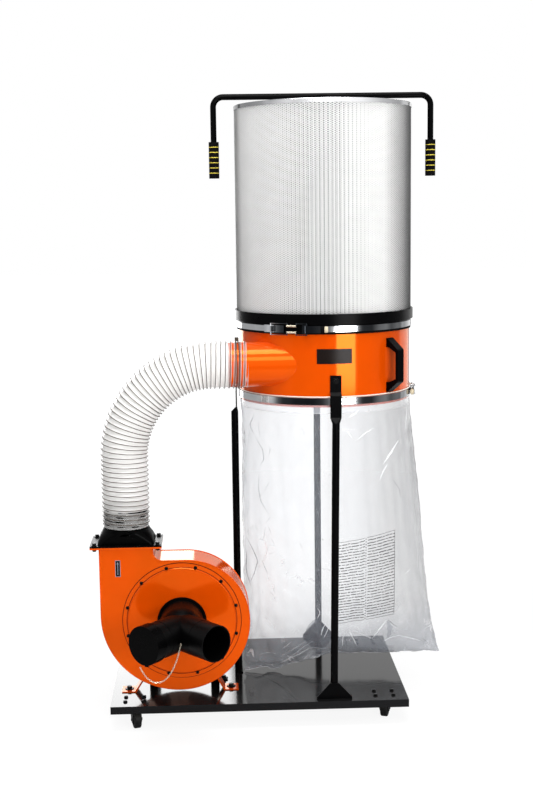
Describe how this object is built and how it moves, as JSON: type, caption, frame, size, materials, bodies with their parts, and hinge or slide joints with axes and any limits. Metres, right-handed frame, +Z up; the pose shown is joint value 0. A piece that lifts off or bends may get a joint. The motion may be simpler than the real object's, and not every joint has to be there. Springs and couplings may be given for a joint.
{
  "type": "wheeled chip extractor",
  "caption": "Wheeled workshop dust and chip extractor: a scroll blower with a forked inlet feeds a drum by a bent wire hose; pleated filter above, clear dust bag below.",
  "frame": {"origin": "centre of the machine's bounding box on the floor, under the deck", "axes": "+Z up, -Y the front with the forked inlet, +X towards the drum side"},
  "size_m": [1.0144, 0.7583, 1.7665],
  "materials": {
    "deck_paint": "glossy dark grey paint",
    "caster_steel": "zinc plate",
    "wheel_rubber": "moulded",
    "black_paint": "semi-gloss",
    "orange_paint": "glossy powder coat",
    "plate_black": "bare plate",
    "seal_foam": "closed-cell foam",
    "band_steel": "zinc plate",
    "filter_paper": "pleated media",
    "filter_steel": "galvanised",
    "grip_foam": "foam with thin rings",
    "black_plastic": "moulded",
    "hose_film": "clear film",
    "hose_wire": "drawn wire",
    "bag_film": "thin clear film"
  },
  "bodies": {
    "base": {"base_deck": "deck_paint", "caster_plates": "caster_steel", "post_front": "black_paint", "post_back": "black_paint", "post_left": "black_paint", "drum_ring": "orange_paint", "inlet_pipe": "orange_paint", "drum_handle": "black_paint", "name_plate": "plate_black", "seal_ring": "seal_foam", "lower_band": "band_steel", "upper_band": "band_steel", "filter_end_ring": "black_paint", "filter_media": "filter_paper", "filter_core": "filter_steel", "filter_cap": "filter_steel", "blower_housing": "orange_paint", "blower_cover": "orange_paint", "inlet_fork": "black_plastic", "inlet_cap": "black_plastic", "outlet_adapter": "black_plastic", "hose": "hose_film", "hose_wire": "hose_wire", "hose_clamp": "band_steel", "blower_feet": "orange_paint", "motor_stand": "black_paint", "motor_body": "black_paint", "motor_cowl": "black_paint", "motor_switch_box": "black_plastic", "dust_bag": "bag_film"},
    "fork_front_left_body": {"fork_front_left": "caster_steel"},
    "wheel_front_left_body": {"wheel_front_left": "wheel_rubber"},
    "fork_front_right_body": {"fork_front_right": "caster_steel"},
    "wheel_front_right_body": {"wheel_front_right": "wheel_rubber"},
    "fork_back_left_body": {"fork_back_left": "caster_steel"},
    "wheel_back_left_body": {"wheel_back_left": "wheel_rubber"},
    "fork_back_right_body": {"fork_back_right": "caster_steel"},
    "wheel_back_right_body": {"wheel_back_right": "wheel_rubber"},
    "crank": {"crank_bar": "black_paint", "crank_hub": "black_paint", "grip_left": "grip_foam", "grip_right": "grip_foam"},
    "upper_lever": {"upper_latch_lever": "band_steel"},
    "lower_lever": {"lower_latch_lever": "band_steel"}
  },
  "joints": [
    {"name": "swivel_front_left", "type": "hinge", "parent": "base", "child": "fork_front_left_body", "pos_m": [-0.396, -0.1385, 0.064], "axis": [0, 0, 1], "continuous": true},
    {"name": "spin_front_left", "type": "hinge", "parent": "fork_front_left_body", "child": "wheel_front_left_body", "pos_m": [-0.39082, -0.15782, 0.025], "axis": [0.9659, 0.2588, 0], "continuous": true},
    {"name": "swivel_front_right", "type": "hinge", "parent": "base", "child": "fork_front_right_body", "pos_m": [0.31, -0.1385, 0.064], "axis": [0, 0, 1], "continuous": true},
    {"name": "spin_front_right", "type": "hinge", "parent": "fork_front_right_body", "child": "wheel_front_right_body", "pos_m": [0.31618, -0.11948, 0.025], "axis": [-0.9511, 0.309, 0], "continuous": true},
    {"name": "swivel_back_left", "type": "hinge", "parent": "base", "child": "fork_back_left_body", "pos_m": [-0.396, 0.3115, 0.064], "axis": [0, 0, 1], "continuous": true},
    {"name": "spin_back_left", "type": "hinge", "parent": "fork_back_left_body", "child": "wheel_back_left_body", "pos_m": [-0.406, 0.32882, 0.025], "axis": [-0.866, -0.5, 0], "continuous": true},
    {"name": "swivel_back_right", "type": "hinge", "parent": "base", "child": "fork_back_right_body", "pos_m": [0.31, 0.3115, 0.064], "axis": [0, 0, 1], "continuous": true},
    {"name": "spin_back_right", "type": "hinge", "parent": "fork_back_right_body", "child": "wheel_back_right_body", "pos_m": [0.32638, 0.32297, 0.025], "axis": [-0.5736, 0.8192, 0], "continuous": true},
    {"name": "crank_turn", "type": "hinge", "parent": "base", "child": "crank", "pos_m": [0.167, 0.102, 1.74], "axis": [0, 0, 1], "continuous": true},
    {"name": "upper_latch_hinge", "type": "hinge", "parent": "base", "child": "upper_lever", "pos_m": [0.09374, -0.14903, 1.1155], "axis": [0, 0, -1], "range_deg": [0, 140]},
    {"name": "lower_latch_hinge", "type": "hinge", "parent": "base", "child": "lower_lever", "pos_m": [0.42625, 0.0851, 0.916], "axis": [0, 0, 1], "range_deg": [0, 140]}
  ]
}
